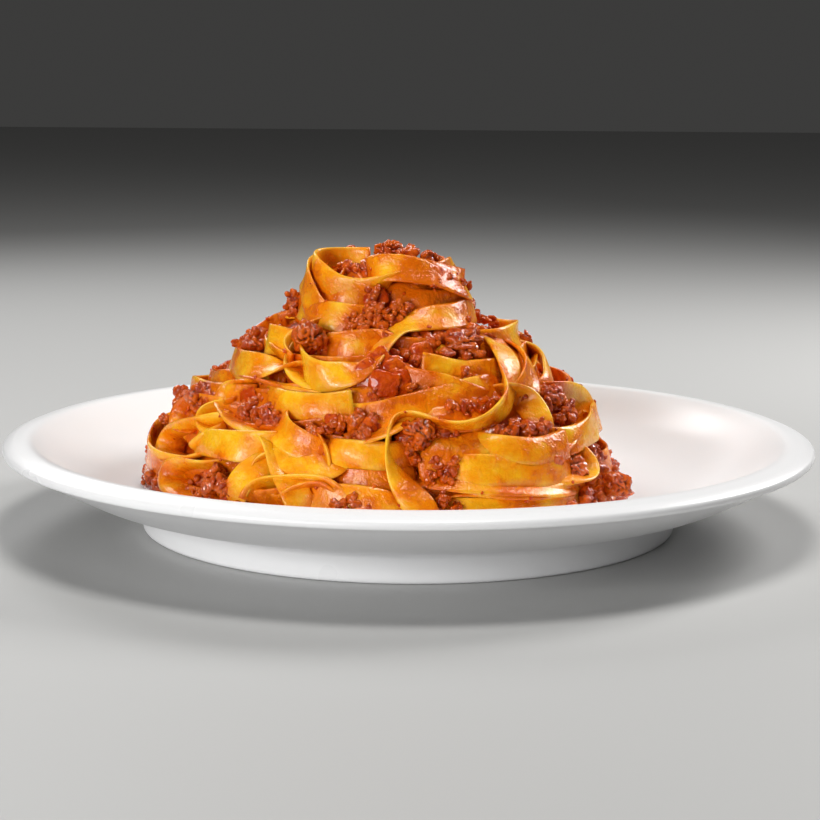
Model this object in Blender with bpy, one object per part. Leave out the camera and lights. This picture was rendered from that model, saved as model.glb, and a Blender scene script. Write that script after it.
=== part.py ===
"""Tagliatelle with meat sauce, heaped on a round white plate.

The plate is a turned porcelain body that stands on a foot ring. The noodles are
one closed mound, uneven like the bands that lie round it, and it rests just
above the plate's floor. The largest clumps of minced meat are separate lumps
set into sockets in the mound. Sizes below are in millimetres, and +Z is up.
The plate's axis is the Z axis, and its foot stands on z = 0.
"""

import math

import bmesh
import bpy
import numpy as np

MM = 0.001

# Plate: the driving sizes of its turned profile.
PLATE_RADIUS = 125.0
RIM_CREST_RADIUS = 117.0
RIM_CREST_HEIGHT = 28.6
LIP_EDGE_RADIUS = 1.4
LIP_CENTRE_HEIGHT = 25.9
FLOOR_HEIGHT = 10.5
FLOOR_UNDERSIDE = 6.0
WELL_RADIUS = 70.0
FOOT_TOP_RADIUS = 85.5
FOOT_TOP_HEIGHT = 10.6
FOOT_OUTER_RADIUS = 82.0
FOOT_INNER_RADIUS = 77.0
PLATE_SEGMENTS = 52

# Mound of noodles: radius and height of its mean outline, from the edge to the top.
MOUND_AXIS_X = -8.0
MOUND_OUTLINE = [
    (75.0, 13.5),
    (74.0, 19.0),
    (69.0, 28.0),
    (65.0, 36.0),
    (55.0, 44.0),
    (48.5, 51.0),
    (41.0, 58.0),
    (29.0, 64.0),
    (26.0, 71.0),
    (24.0, 79.0),
    (18.0, 84.0),
    (9.0, 82.5),
    (0.0, 81.0),
]
MOUND_RINGS = 28
MOUND_SEGMENTS = 54
MOUND_UNDERSIDE_STEPS = [0.93, 0.75, 0.4]
BAND_RISE = 5.0
BAND_BELL_WIDTH = 3.1
TOUCHING_GAP = 0.35

# Bands of noodle that wrap the mound: middle height, tilt, waviness, waves per turn, turn in degrees.
BANDS = [
    (18.0, 2.0, 1.5, 5, 20.0),
    (28.0, 6.0, 2.0, 3, 140.0),
    (37.0, 7.0, 3.0, 4, 290.0),
    (46.5, 6.0, 2.5, 5, 60.0),
    (56.0, 6.0, 2.0, 3, 200.0),
    (68.0, 4.0, 1.5, 2, 340.0),
    (79.0, 2.5, 1.0, 2, 170.0),
]
# Lobes that make the outline uneven: depth, lobes per turn, turn in degrees for each mm of height.
LOBES = [(2.2, 3, 2.3), (1.8, 5, -4.1), (1.2, 9, 6.7)]
LOBE_FULL_RADIUS = 45.0
CROWN_RADIUS = 24.0

# Meat clumps: azimuth (0 faces the front, 90 to the right), height, radius, and flattening.
CLUMPS = [
    (90.0, 84.0, 5.6, 0.90),
    (-33.0, 61.5, 6.4, 1.00),
    (38.0, 60.0, 6.8, 0.80),
    (-66.0, 42.5, 6.2, 0.90),
    (62.0, 44.0, 5.6, 0.95),
    (10.0, 38.5, 6.2, 0.90),
    (56.0, 25.0, 6.0, 0.90),
    (65.0, 18.8, 4.8, 0.90),
    (172.0, 50.0, 6.6, 0.90),
    (-140.0, 29.0, 6.2, 0.90),
]
TOP_CLUMP_REACH = 2.0
CROWN_HEIGHT = 80.0
CLUMP_GRAINS = 14
CLUMP_GRAIN_DEPTH = 0.24
CLUMP_GRAIN_SPREAD = 0.42
CLUMP_STANDS_PROUD = 0.35
SOCKET_SCALE = 1.11


def smooth_curve(points, steps):
    """Catmull-Rom curve through the points, with so many steps between neighbours."""
    nodes = np.array([points[0], *points, points[-1]], dtype=float)
    share = np.arange(steps)[:, None] / steps
    pieces = []
    for before, start, end, after in zip(nodes, nodes[1:], nodes[2:], nodes[3:]):
        slope_in = (end - before) / 2
        slope_out = (after - start) / 2
        bend = 3 * (end - start) - 2 * slope_in - slope_out
        twist = 2 * (start - end) + slope_in + slope_out
        pieces.append(start + slope_in * share + bend * share**2 + twist * share**3)
    return np.vstack([*pieces, nodes[-1]])


def arc(centre, radius, start_degrees, end_degrees, steps):
    """Points on a circular arc, both ends included."""
    angles = np.radians(np.linspace(start_degrees, end_degrees, steps + 1))
    return np.column_stack([centre[0] + radius * np.cos(angles), centre[1] + radius * np.sin(angles)])


def plate_upper_side():
    """Radius and height along the eating side, from the floor's middle to the rim."""
    return smooth_curve(
        [
            (WELL_RADIUS, FLOOR_HEIGHT),
            (88.0, 13.4),
            (102.0, 18.8),
            (RIM_CREST_RADIUS - 4.0, 26.6),
            (RIM_CREST_RADIUS, RIM_CREST_HEIGHT),
            (PLATE_RADIUS - 3.2, 28.1),
        ],
        2,
    )


def plate_profile():
    """The whole outline of the plate's section, from the axis above to the axis below."""
    lip_centre = (PLATE_RADIUS - LIP_EDGE_RADIUS, LIP_CENTRE_HEIGHT)
    lip = arc(lip_centre, LIP_EDGE_RADIUS, 60, -75, 3)
    wall = [(PLATE_RADIUS - 3.5, 23.8), (99.5, 12.6), (FOOT_TOP_RADIUS, FOOT_TOP_HEIGHT)]
    foot = [
        (FOOT_OUTER_RADIUS + 1.5, 8.6),
        (FOOT_OUTER_RADIUS + 0.7, 1.2),
        (FOOT_OUTER_RADIUS - 0.6, 0.0),
        (FOOT_INNER_RADIUS, 0.0),
        (FOOT_INNER_RADIUS - 1.2, 1.6),
        (FOOT_INNER_RADIUS - 3.0, FLOOR_UNDERSIDE),
    ]
    top = [(0.0, FLOOR_HEIGHT)]
    bottom = [(0.0, FLOOR_UNDERSIDE)]
    return np.vstack([top, plate_upper_side(), lip, wall, foot, bottom])


def floor_height_at(radius):
    """Height of the plate's eating side at a distance from its axis."""
    side = plate_upper_side()
    return np.interp(radius, side[:, 0], side[:, 1])


def mound_lobes(azimuth, height):
    """How far the mound's outline stands out or in, for its uneven lobes."""
    reach = np.zeros_like(azimuth)
    for depth, count, turn in LOBES:
        reach += depth * np.cos(count * azimuth + np.radians(turn * height))
    return reach


def mound_bands(azimuth, height):
    """Rounded ridges along the noodle bands, each a bell across its wavy middle line."""
    rise = np.zeros_like(azimuth)
    for middle, tilt, waviness, waves, turn in BANDS:
        shift = math.radians(turn)
        line = middle + tilt * np.sin(azimuth - shift) + waviness * np.sin(waves * azimuth + shift)
        rise = np.maximum(rise, np.exp(-(((height - line) / BAND_BELL_WIDTH) ** 2)))
    return BAND_RISE * rise


def mound_radius(azimuth, radius, height):
    """Outer radius of the mound: mean outline plus lobes and bands, which fade out at the top."""
    lobes = mound_lobes(azimuth, height) * np.clip(radius / LOBE_FULL_RADIUS, 0.0, 1.0)
    bands = (mound_bands(azimuth, height) - BAND_RISE / 2) * np.clip(radius / CROWN_RADIUS, 0.0, 1.0)
    return radius + lobes + bands


def mesh_object(name, verts, faces, colour, roughness):
    """A named object from points in millimetres, with its own plain material."""
    mesh = bpy.data.meshes.new(name)
    mesh.from_pydata((np.asarray(verts) * MM).tolist(), [], faces)
    mesh.update()
    obj = bpy.data.objects.new(name, mesh)
    bpy.context.collection.objects.link(obj)
    material = bpy.data.materials.new(name)
    material.use_nodes = True
    shader = material.node_tree.nodes["Principled BSDF"]
    shader.inputs["Base Color"].default_value = (*colour, 1.0)
    shader.inputs["Roughness"].default_value = roughness
    shader.inputs["Metallic"].default_value = 0.0
    mesh.materials.append(material)
    mesh.shade_smooth()
    return obj


def ring_faces(rings, segments):
    """Quads between stacked rings, and fans to one point before the first and after the last."""
    first_ring = 1
    last_point = 1 + rings * segments
    faces = []
    for step in range(segments):
        after = (step + 1) % segments
        faces.append((0, first_ring + step, first_ring + after))
        for ring in range(rings - 1):
            low = first_ring + ring * segments
            high = low + segments
            faces.append((low + step, high + step, high + after, low + after))
        low = first_ring + (rings - 1) * segments
        faces.append((low + step, last_point, low + after))
    return faces


def make_plate():
    """Turn the profile about the Z axis."""
    profile = plate_profile()
    angles = np.linspace(0.0, 2 * math.pi, PLATE_SEGMENTS, endpoint=False)
    rings = profile[1:-1]
    x = rings[:, :1] * np.cos(angles)
    y = rings[:, :1] * np.sin(angles)
    z = np.broadcast_to(rings[:, 1:], x.shape)
    body = np.stack([x, y, z], axis=-1).reshape(-1, 3)
    top = [[0.0, 0.0, profile[0, 1]]]
    bottom = [[0.0, 0.0, profile[-1, 1]]]
    faces = ring_faces(len(rings), PLATE_SEGMENTS)
    plate = mesh_object("plate", np.vstack([top, body, bottom]), faces, (0.86, 0.85, 0.84), 0.12)
    plate.data.set_sharp_from_angle(angle=math.radians(40))
    return plate


def make_mound():
    """The noodles as one mound: rings from the top down the outline, then in under it."""
    outline = smooth_curve(MOUND_OUTLINE[::-1], 6)
    along = np.linspace(0, len(outline) - 1, MOUND_RINGS + 1)[1:]
    radius = np.interp(along, np.arange(len(outline)), outline[:, 0])[:, None]
    height = np.interp(along, np.arange(len(outline)), outline[:, 1])[:, None]
    azimuth = np.linspace(0.0, 2 * math.pi, MOUND_SEGMENTS, endpoint=False)[None, :]
    azimuth = np.broadcast_to(azimuth, (MOUND_RINGS, MOUND_SEGMENTS))
    height = np.broadcast_to(height, azimuth.shape)
    reach = mound_radius(azimuth, radius, height)
    x = MOUND_AXIS_X + reach * np.sin(azimuth)
    y = -reach * np.cos(azimuth)
    outside = np.stack([x, y, height], axis=-1)

    under = []
    for share in MOUND_UNDERSIDE_STEPS:
        ring_x = MOUND_AXIS_X + share * (x[-1] - MOUND_AXIS_X)
        ring_y = share * y[-1]
        resting = floor_height_at(np.hypot(ring_x, ring_y)) + TOUCHING_GAP
        under.append(np.stack([ring_x, ring_y, resting], axis=-1))

    rings = np.concatenate([outside, np.stack(under)])
    top = [[MOUND_AXIS_X, 0.0, outline[0, 1]]]
    bottom = [[MOUND_AXIS_X, 0.0, FLOOR_HEIGHT + TOUCHING_GAP]]
    verts = np.vstack([top, rings.reshape(-1, 3), bottom])
    faces = ring_faces(len(rings), MOUND_SEGMENTS)
    return mesh_object("noodles", verts, faces, (0.80, 0.36, 0.06), 0.35)


def clump_verts(directions, radius, flattening, seed):
    """A lump of minced meat: a ball whose surface rises at scattered grains, pressed a little flat."""
    rng = np.random.default_rng(seed)
    grains = rng.normal(size=(CLUMP_GRAINS, 3))
    grains /= np.linalg.norm(grains, axis=1, keepdims=True)
    angle = np.arccos(np.clip(directions @ grains.T, -1.0, 1.0))
    rise = np.exp(-((angle / CLUMP_GRAIN_SPREAD) ** 2)).max(axis=1)
    reach = radius * (1.0 - CLUMP_GRAIN_DEPTH + CLUMP_GRAIN_DEPTH * rise)
    return directions * reach[:, None] * (1.0, 1.0, flattening)


def ball_directions(subdivisions):
    """Unit directions and triangles of an even ball."""
    ball = bmesh.new()
    bmesh.ops.create_icosphere(ball, subdivisions=subdivisions, radius=1.0)
    directions = np.array([vert.co[:] for vert in ball.verts])
    triangles = [tuple(vert.index for vert in face.verts) for face in ball.faces]
    ball.free()
    return directions, triangles


def clump_centre(azimuth_degrees, height, radius):
    """The point on the mound at that height, moved out by part of the lump's radius."""
    azimuth = np.array(math.radians(azimuth_degrees))
    reach = TOP_CLUMP_REACH
    if height < CROWN_HEIGHT:
        heights = [point[1] for point in MOUND_OUTLINE]
        radii = [point[0] for point in MOUND_OUTLINE]
        mean = np.interp(height, heights, radii)
        reach = float(mound_radius(azimuth, mean, np.array(height))) + CLUMP_STANDS_PROUD * radius
    return np.array([MOUND_AXIS_X + reach * math.sin(azimuth), -reach * math.cos(azimuth), height])


def cut_socket(mound, name, centre, radius, flattening):
    """Cut a ball a little larger than the lump out of the mound, so that they don't touch."""
    directions, triangles = ball_directions(2)
    verts = centre + directions * radius * SOCKET_SCALE * (1.0, 1.0, flattening)
    cutter = mesh_object(name, verts, triangles, (0.5, 0.5, 0.5), 0.5)
    cutter.hide_render = True
    cutter.display_type = "WIRE"
    cut = mound.modifiers.new(name, "BOOLEAN")
    cut.operation = "DIFFERENCE"
    cut.solver = "EXACT"
    cut.object = cutter


def make_clumps(mound):
    """Each meat clump and its socket in the mound."""
    directions, triangles = ball_directions(3)
    for number, (azimuth, height, radius, flattening) in enumerate(CLUMPS, start=1):
        verts = clump_verts(directions, radius, flattening, seed=number)
        centre = clump_centre(azimuth, height, radius)
        mesh_object(f"meat_clump_{number:02d}", centre + verts, triangles, (0.33, 0.06, 0.02), 0.45)
        cut_socket(mound, f"socket_{number:02d}", centre, radius, flattening)


def main():
    for obj in list(bpy.data.objects):
        bpy.data.objects.remove(obj, do_unlink=True)
    make_plate()
    mound = make_mound()
    make_clumps(mound)


main()
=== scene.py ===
# %% [markdown]
# # A plate of tagliatelle with meat sauce
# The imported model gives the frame: a porcelain plate, one solid heap of noodles and ten
# lumps of meat. This script keeps those places and sizes and puts the real things there:
# a smoothly turned plate, separate ribbons of pasta over a smaller core of sauce, and
# minced meat, crumbs and glaze. Sizes are in millimetres until a mesh is made.

import math

import bpy
import numpy as np
from mathutils import Euler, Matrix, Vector


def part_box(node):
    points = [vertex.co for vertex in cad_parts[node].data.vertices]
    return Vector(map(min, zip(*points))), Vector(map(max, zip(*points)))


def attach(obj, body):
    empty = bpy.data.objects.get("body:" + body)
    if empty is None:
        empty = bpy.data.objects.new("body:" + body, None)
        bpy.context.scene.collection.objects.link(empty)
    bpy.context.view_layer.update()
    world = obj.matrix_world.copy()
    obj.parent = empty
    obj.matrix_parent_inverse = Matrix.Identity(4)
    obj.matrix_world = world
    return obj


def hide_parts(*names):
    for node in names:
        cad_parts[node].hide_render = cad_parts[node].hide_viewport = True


MM = 0.001
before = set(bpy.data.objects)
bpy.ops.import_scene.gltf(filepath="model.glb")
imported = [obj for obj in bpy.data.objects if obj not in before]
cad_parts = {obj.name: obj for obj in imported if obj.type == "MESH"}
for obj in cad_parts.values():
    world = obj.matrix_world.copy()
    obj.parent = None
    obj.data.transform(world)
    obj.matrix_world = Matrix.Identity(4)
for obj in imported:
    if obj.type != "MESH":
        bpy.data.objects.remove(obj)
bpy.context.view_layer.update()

# %% [markdown]
# ## Camera and light
# The plate is seen from just above its rim, as a guest sees it, so the camera stands
# 69 cm away at about ten degrees. A long lens keeps the ellipse of the rim flat. The
# light is a studio's, from five soft lamps: one overhead, two behind that draw white
# glints on the oily pasta, and two in front on the left that reach into the folds. Each
# is a rectangle of a hand's size or two, so the glints stay small and bright.

# %% Camera
plate_low, plate_high = (np.array(corner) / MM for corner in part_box("plate"))
PLATE_RADIUS = (plate_high[0] - plate_low[0]) / 2
RIM_CREST_HEIGHT = plate_high[2]
CAMERA_DISTANCE = 690.0
CAMERA_ELEVATION = 10.1
AIM_PITCH = -9.55
AIM_YAW = -0.027
CAMERA_ROLL = 0.43
LENS = 97.1
SENSOR_WIDTH = 36.0


def make_camera():
    """A camera on the plate's front side, aimed just above the rim's centre."""
    data = bpy.data.cameras.new("camera")
    data.lens = LENS
    data.sensor_width = SENSOR_WIDTH
    data.clip_start = 0.01
    camera = bpy.data.objects.new("camera", data)
    bpy.context.scene.collection.objects.link(camera)
    height = RIM_CREST_HEIGHT + CAMERA_DISTANCE * math.sin(math.radians(CAMERA_ELEVATION))
    back = CAMERA_DISTANCE * math.cos(math.radians(CAMERA_ELEVATION))
    camera.location = Vector((0, -back, height)) * MM
    aim = Euler((math.radians(90 + AIM_PITCH), 0, math.radians(AIM_YAW)), "XYZ").to_matrix()
    roll = Euler((0, 0, math.radians(CAMERA_ROLL)), "XYZ").to_matrix()
    camera.rotation_euler = (aim @ roll).to_euler()
    bpy.context.scene.camera = camera
    return camera


camera = make_camera()
print("camera at", [round(v, 3) for v in camera.location])

# %% Lamps and world
LAMPS = {
    # name: (where it stands, metres), (width, height in metres), watts, colour
    "overhead": ((0.05, -0.05, 0.9), (0.30, 0.30), 4.4, (1.0, 0.99, 0.97)),
    "back_right": ((0.55, 0.40, 0.48), (0.26, 0.30), 4.6, (1.0, 0.99, 0.98)),
    "back_left": ((-0.35, 0.65, 0.50), (0.30, 0.25), 1.9, (1.0, 1.0, 1.0)),
    "front_left": ((-0.70, -0.75, 0.34), (0.20, 0.20), 3.7, (1.0, 1.0, 0.99)),
    "front_low": ((-0.42, -0.95, 0.20), (0.40, 0.24), 3.4, (1.0, 1.0, 1.0)),
}
LAMP_AIM = Vector((0, 0, 0.04))
WORLD_COLOUR = (1.0, 0.99, 0.97, 1)
WORLD_STRENGTH = 0.045


def make_lamp(name, place, size, watts, colour):
    """A rectangular soft lamp that looks at the middle of the heap."""
    data = bpy.data.lights.new(name, "AREA")
    data.shape = "RECTANGLE"
    data.size, data.size_y = size
    data.energy = watts
    data.color = colour
    lamp = bpy.data.objects.new(name, data)
    bpy.context.scene.collection.objects.link(lamp)
    lamp.location = place
    lamp.rotation_euler = (LAMP_AIM - Vector(place)).to_track_quat("-Z", "Y").to_euler()


for name, (place, size, watts, colour) in LAMPS.items():
    make_lamp(name, place, size, watts, colour)
world = bpy.data.worlds.new("studio")
bpy.context.scene.world = world
world.use_nodes = True
background = world.node_tree.nodes["Background"]
background.inputs["Color"].default_value = WORLD_COLOUR
background.inputs["Strength"].default_value = WORLD_STRENGTH
bpy.context.scene.view_settings.view_transform = "Standard"
print("lamps:", list(LAMPS))

# %% [markdown]
# ## Finishes
# Every finish is a Principled shader whose colour, roughness and bump come from noise in
# the object's own space or from attributes that the meshes carry. Shader arithmetic is
# long-winded as nodes, so a small class stands for a socket and lets plain Python
# expressions build the Math nodes.


# %% Sockets as numbers
class Wire:
    """A value inside a finish's nodes, which can be added, multiplied and compared."""

    def __init__(self, finish, socket):
        self.finish = finish
        self.socket = socket

    def maths(self, operation, *values):
        return self.finish.node("ShaderNodeMath", {"operation": operation}, dict(enumerate(values)))

    def __add__(self, other):
        return self.maths("ADD", self, other)

    __radd__ = __add__

    def __sub__(self, other):
        return self.maths("SUBTRACT", self, other)

    def __mul__(self, other):
        return self.maths("MULTIPLY", self, other)

    __rmul__ = __mul__

    def step(self, low, high):
        """0 below low, 1 above high, and an S-shaped rise between them."""
        settings = {"interpolation_type": "SMOOTHSTEP"}
        values = {"Value": self, "From Min": low, "From Max": high}
        return self.finish.node("ShaderNodeMapRange", settings, values)


# %% Finish builder
class Finish:
    """A material with one Principled shader, built up through node()."""

    def __init__(self, name, **constants):
        self.material = bpy.data.materials.new(name)
        self.material.use_nodes = True
        self.tree = self.material.node_tree
        self.shader = self.tree.nodes["Principled BSDF"]
        for socket, value in constants.items():
            self.shader.inputs[socket.replace("_", " ")].default_value = value

    def node(self, kind, settings=None, values=None, output=0):
        """Any node: its type, its settings, then the values or wires of its sockets."""
        made = self.tree.nodes.new(kind)
        for key, value in (settings or {}).items():
            setattr(made, key, value)
        for key, value in (values or {}).items():
            if isinstance(value, Wire):
                self.tree.links.new(value.socket, made.inputs[key])
            else:
                made.inputs[key].default_value = value
        return Wire(self, made.outputs[output])

    def place(self):
        """The object's own coordinates, in metres."""
        return self.node("ShaderNodeTexCoord", output="Object")

    def noise(self, size_mm, detail=3.0, roughness=0.55, distortion=0.0):
        """Noise from 0 to 1 whose patches are about size_mm across."""
        values = {
            "Vector": self.place(),
            "Scale": 1 / (size_mm * MM),
            "Detail": detail,
            "Roughness": roughness,
            "Distortion": distortion,
        }
        return self.node("ShaderNodeTexNoise", {}, values)

    def cells(self, size_mm):
        """Distance to the nearest of many scattered seeds: 0 in a grain, 1 in a crease."""
        values = {"Vector": self.place(), "Scale": 1 / (size_mm * MM), "Smoothness": 0.4}
        return self.node("ShaderNodeTexVoronoi", {"feature": "SMOOTH_F1"}, values)

    def attribute(self, name):
        """A number that the mesh carries on its vertices."""
        return self.node("ShaderNodeAttribute", {"attribute_name": name}, output="Fac")

    def blend(self, share, first, second):
        """A colour between two colours."""
        settings = {"data_type": "RGBA", "clamp_factor": True}
        return self.node("ShaderNodeMix", settings, {0: share, 6: first, 7: second}, output=2)

    def bump(self, height, strength, distance_mm):
        """A normal that leans as the height's slope does."""
        values = {"Strength": strength, "Distance": distance_mm * MM, "Height": height}
        return self.node("ShaderNodeBump", {}, values)

    def feed(self, **wires):
        """Links wires to the shader's sockets, and gives back the finished material."""
        for socket, wire in wires.items():
            self.tree.links.new(wire.socket, self.shader.inputs[socket.replace("_", " ")])
        print(self.material.name, "has", len(self.tree.nodes), "nodes")
        return self.material


# %% Display colours
def srgb(red, green, blue):
    """A display colour from 0 to 255 as the linear colour that shaders take."""
    shares = np.array([red, green, blue]) / 255
    linear = np.where(shares <= 0.04045, shares / 12.92, ((shares + 0.055) / 1.055) ** 2.4)
    return (*linear.tolist(), 1.0)


print("a mid grey is", round(srgb(128, 128, 128)[0], 3), "in linear light")


# %% Porcelain
def porcelain_finish():
    """Glazed white porcelain: nearly even, with a faint waver in the glaze."""
    finish = Finish("porcelain", IOR=1.5)
    cloud = finish.noise(38, 2)
    waver = finish.noise(16, 1)
    colour = finish.blend(cloud, srgb(240, 240, 241), srgb(245, 245, 246))
    return finish.feed(
        Base_Color=colour,
        Roughness=0.25 + 0.08 * cloud,
        Normal=finish.bump(waver, 0.05, 1.0),
    )


porcelain = porcelain_finish()


# %% Sauce
def sauce_finish():
    """Tomato and meat sauce: red brown, oily, full of small grains."""
    finish = Finish(
        "meat_sauce",
        IOR=1.33,
        Specular_IOR_Level=0.15,
        Subsurface_Weight=0.15,
        Subsurface_Radius=(1.0, 0.25, 0.05),
        Subsurface_Scale=0.0018,
        Coat_Weight=0.7,
        Coat_Roughness=0.05,
    )
    patches = finish.noise(7, 3)
    grain = finish.cells(1.5)
    fine = finish.noise(0.6, 3)
    red = finish.blend(patches.step(0.35, 0.65), srgb(196, 66, 4), srgb(224, 100, 12))
    colour = finish.blend((grain + fine - 0.6).step(0.3, 0.8), red, srgb(176, 50, 2))
    return finish.feed(
        Base_Color=colour,
        Roughness=0.12 + 0.16 * fine,
        Normal=finish.bump(0.8 * patches - 0.4 * grain + 0.3 * fine, 0.8, 0.8),
    )


sauce_material = sauce_finish()


# %% Meat
def meat_finish():
    """Minced meat in its sauce: grains about two millimetres across, brown with paler fibres, red from
    the sauce and darker with painted shade in the creases, and dark with painted shade in the hollows
    of its shape."""
    finish = Finish(
        "minced_meat",
        IOR=1.33,
        Specular_IOR_Level=0.1,
        Subsurface_Weight=0.1,
        Subsurface_Radius=(1.0, 0.3, 0.08),
        Subsurface_Scale=0.0012,
        Coat_Weight=0.8,
        Coat_Roughness=0.05,
    )
    patches = finish.noise(6, 3)
    grain = finish.cells(2.2)
    fibre = finish.noise(0.9, 4, 0.7, distortion=0.8)
    speck = finish.noise(0.35, 2)
    pointiness_for_painted_shade = finish.node("ShaderNodeNewGeometry", output="Pointiness")
    brown = finish.blend(patches.step(0.36, 0.64), srgb(192, 70, 2), srgb(222, 100, 10))
    brown = finish.blend(fibre.step(0.54, 0.76), brown, srgb(234, 138, 46))
    # the creases between grains turn darker red: sauce lying there, and painted shade
    brown = finish.blend((grain + fibre * 0.5).step(0.7, 1.15), brown, srgb(160, 50, 2))
    # painted shade: concave places, where pointiness is low, turn dark red brown
    colour = finish.blend(pointiness_for_painted_shade.step(0.41, 0.53), srgb(98, 24, 0), brown)
    return finish.feed(
        Base_Color=colour,
        Roughness=0.08 + 0.2 * fibre,
        Normal=finish.bump(0.6 * fibre + 0.25 * speck - 0.5 * grain, 0.8, 0.8),
    )


meat_material = meat_finish()


# %% Noodle
def noodle_finish():
    """Egg tagliatelle: golden, a little see-through, oiled, with stains of sauce.

    The mesh says how saucy each place is and how near its cut edge, which is painted paler as a
    highlight, and noise breaks the sauce up into stains."""
    finish = Finish(
        "tagliatella",
        IOR=1.42,
        Specular_IOR_Level=0.42,
        Subsurface_Weight=0.2,
        Subsurface_Radius=(1.0, 0.4, 0.06),
        Subsurface_Scale=0.0016,
        Coat_Weight=0.2,
        Coat_Roughness=0.1,
    )
    sauce = finish.attribute("sauce")
    rim = finish.attribute("rim")
    cloud = finish.noise(10, 3)
    stain = finish.noise(4.5, 4, 0.62, distortion=0.4)
    grain = finish.noise(0.9, 3)
    mottle = finish.noise(2.2, 3)
    dough = finish.blend(cloud.step(0.32, 0.68), srgb(253, 190, 24), srgb(242, 154, 6))
    dough = finish.blend(mottle.step(0.45, 0.75) * 0.5, dough, srgb(253, 208, 76))
    # painted highlight: the dough turns paler along the cut edges
    dough = finish.blend(rim * 0.5, dough, srgb(253, 202, 66))
    # the sauce number also carries painted shade on ribbons that lie deep in the heap
    tint = finish.blend((sauce + stain * 0.8 - 0.42).step(0.0, 0.5), dough, srgb(240, 140, 6))
    wet = (sauce + stain - 0.5).step(0.28, 0.72)
    colour = finish.blend(wet * 0.8, tint, srgb(236, 122, 6))
    dots = (sauce + 1.4 * mottle - 0.7).step(0.45, 0.75) * sauce.step(0.15, 0.6)
    colour = finish.blend(dots * 0.6, colour, srgb(208, 86, 4))
    return finish.feed(
        Base_Color=colour,
        Roughness=0.17 + 0.14 * cloud + 0.08 * grain - 0.14 * wet,
        Normal=finish.bump(0.4 * grain + 0.5 * cloud + (0.6 + 1.1 * wet) * mottle, 0.7, 0.6),
    )


noodle_material = noodle_finish()

# %% [markdown]
# ## From arrays to meshes
# Every shape below is a grid of points worked out in numpy: the columns run round the
# shape, the rows along it, and both ends are closed, the round ones by a fan of triangles
# to a pole. Whole arrays of points and faces then become a mesh at once, which is far
# quicker than adding them one by one.


# %% Mesh makers
def face_loops(faces):
    """Loop starts and vertex numbers of a list of face arrays."""
    corners = np.concatenate([part.ravel() for part in faces])
    sizes = np.concatenate([np.full(len(part), part.shape[1]) for part in faces])
    return np.concatenate([[0], np.cumsum(sizes)[:-1]]), sizes, corners


def build_mesh(name, points, faces, attributes=None):
    """A mesh object from points in millimetres and arrays of faces."""
    mesh = bpy.data.meshes.new(name)
    starts, sizes, corners = face_loops(faces)
    mesh.vertices.add(len(points))
    mesh.vertices.foreach_set("co", (points * MM).astype(np.float32).ravel())
    mesh.loops.add(len(corners))
    mesh.loops.foreach_set("vertex_index", corners.astype(np.int32))
    mesh.polygons.add(len(starts))
    mesh.polygons.foreach_set("loop_start", starts.astype(np.int32))
    mesh.polygons.foreach_set("loop_total", sizes.astype(np.int32))
    mesh.update(calc_edges=True)
    mesh.validate()
    mesh.shade_smooth()
    for key, values in (attributes or {}).items():
        layer = mesh.attributes.new(key, "FLOAT", "POINT")
        layer.data.foreach_set("value", values.astype(np.float32).ravel())
    piece = bpy.data.objects.new(name, mesh)
    bpy.context.scene.collection.objects.link(piece)
    return piece


def round_faces(rows, columns):
    """Quads between neighbouring rows of a grid whose columns close into a ring."""
    row, column = np.meshgrid(np.arange(rows - 1), np.arange(columns), indexing="ij")
    here = row * columns + column
    right = row * columns + (column + 1) % columns
    return np.stack([here, here + columns, right + columns, right], -1).reshape(-1, 4)


def closed_faces(rows, columns):
    """The same quads, and a fan from the first and the last row to the poles, which are
    the two points that follow the grid."""
    around = np.arange(columns)
    following = (around + 1) % columns
    pole = np.full(columns, rows * columns)
    last = (rows - 1) * columns
    first_fan = np.column_stack([pole, around, following])
    last_fan = np.column_stack([pole + 1, last + following, last + around])
    return [round_faces(rows, columns), first_fan, last_fan]


def joined(shapes):
    """Points and faces of many shapes as one shape's, all the quads before the triangles."""
    points, faces, first = [], [], 0
    for shape_points, shape_faces in shapes:
        points.append(shape_points)
        faces += [part + first for part in shape_faces]
        first += len(shape_points)
    by_corners = [[part for part in faces if part.shape[1] == corners] for corners in (4, 3)]
    return np.vstack(points), [np.concatenate(parts) for parts in by_corners]


print("3 rows of 4 points make", sum(map(len, closed_faces(3, 4))), "faces when closed")


# %% Pieces and waves
def finish_piece(piece, material, slot, *nodes):
    """Gives a piece its material and its body, and hides the nodes it stands for. The slot is not used.
    """
    piece.data.materials.append(material)
    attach(piece, "root")
    if nodes:
        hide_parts(*nodes)
    print(piece.name, "has", len(piece.data.polygons), "faces")


def waves(points, wavelength, seed, count=7):
    """Smooth noise from -1 to 1 at points: a mean of sine waves in seeded directions."""
    draw = np.random.default_rng(seed)
    ways = draw.normal(size=(count, 3))
    ways *= 2 * np.pi / wavelength / np.linalg.norm(ways, axis=1)[:, None]
    ways *= draw.uniform(0.7, 1.4, (count, 1))
    return np.sin(points @ ways.T + draw.uniform(0, 2 * np.pi, count)).mean(-1) * 1.7


print("waves near the axis:", waves(np.eye(3), 8.0, 1).round(2))

# %% [markdown]
# ## The plate
# A plate is turned on a wheel, so it is one section spun about the axis. The section is
# the frame's own: a flat well, a gently rising rim with its crest just inside the edge,
# a thin rounded lip, and a foot ring. Arcs and smooth curves replace the frame's facets.


# %% Curves
def cubic(start, end, leave, arrive, share):
    """Places at shares of the way from start to end, leaving and arriving at two slopes."""
    square = 3 * (end - start) - 2 * leave - arrive
    cube = 2 * (start - end) + leave + arrive
    return start + leave * share + square * share**2 + cube * share**3


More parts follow.
